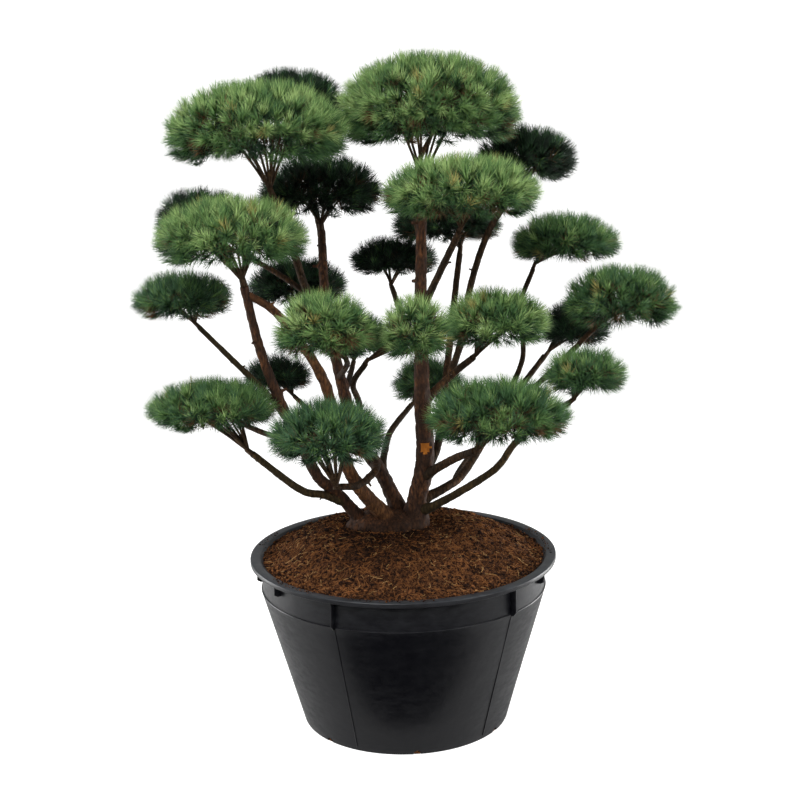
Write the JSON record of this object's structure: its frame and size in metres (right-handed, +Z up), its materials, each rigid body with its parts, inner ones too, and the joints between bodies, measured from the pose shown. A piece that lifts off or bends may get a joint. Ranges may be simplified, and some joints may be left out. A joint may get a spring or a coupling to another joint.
{
  "type": "potted watereri scots pine",
  "caption": "Potted Scots pine on several stems from one stool, boughs bare and needles clipped into cushions, standing in a round plastic nursery container of mulch",
  "frame": {"origin": "centre of the container's flat underside, on the ground", "axes": "+Z up along the container's axis, -Y towards the viewer of the picture, +X to the viewer's right"},
  "size_m": [1.3708, 1.1344, 1.734],
  "materials": {
    "pot_plastic": "satin blue-black, scuffed at the rim",
    "mulch": "coarse fibre, damp red-brown",
    "bark": "flaky red-brown bark",
    "bough_bark": "olive-brown bark with scars",
    "needles_light": "fresh green needles",
    "needles_mid": "green needles",
    "needles_blue": "blue-green needles",
    "needles_deep": "dark green needles"
  },
  "bodies": {
    "root": {"pot": "pot_plastic", "mulch": "mulch", "trunk": "bark", "stem_left": "bark", "stem_inner_left": "bark", "stem_back_left": "bark", "bough_top_left": "bough_bark", "bough_top_back": "bough_bark", "bough_upper_left_back": "bough_bark", "bough_mid_left": "bough_bark", "bough_low_left": "bough_bark", "bough_low_front_left": "bough_bark", "bough_front_centre": "bough_bark", "bough_front_left": "bough_bark", "bough_low_back": "bough_bark", "bough_front_right": "bough_bark", "bough_low_front_right": "bough_bark", "bough_mid_back_right": "bough_bark", "bough_low_right": "bough_bark", "bough_mid_right": "bough_bark", "bough_upper_right": "bough_bark", "bough_upper_front": "bough_bark", "bough_upper_back": "bough_bark", "bough_top_right": "bough_bark", "bough_mid_back": "bough_bark", "bough_mid_back_left": "bough_bark", "bough_low_back_left": "bough_bark", "bough_rear_centre": "bough_bark", "bough_rear_left": "bough_bark", "bough_rear_right": "bough_bark", "bough_rear_top": "bough_bark", "pad_top": "needles_light", "pad_top_left": "needles_light", "pad_top_back": "needles_deep", "pad_upper_back_left": "needles_deep", "pad_upper_left_back": "needles_deep", "pad_upper_left": "needles_light", "pad_mid_left": "needles_blue", "pad_mid_back_left": "needles_deep", "pad_mid_back": "needles_deep", "pad_upper_front": "needles_light", "pad_upper_back": "needles_deep", "pad_top_right": "needles_deep", "pad_upper_right": "needles_mid", "pad_mid_right": "needles_mid", "pad_front_left": "needles_light", "pad_front_centre": "needles_light", "pad_front_right": "needles_light", "pad_mid_back_right": "needles_deep", "pad_low_right": "needles_mid", "pad_low_front_right": "needles_mid", "pad_low_back": "needles_blue", "pad_low_left": "needles_mid", "pad_low_front_left": "needles_blue", "pad_low_back_left": "needles_deep", "pad_rear_centre": "needles_mid", "pad_rear_left": "needles_mid", "pad_rear_right": "needles_mid", "pad_rear_top": "needles_mid"}
  },
  "joints": []
}
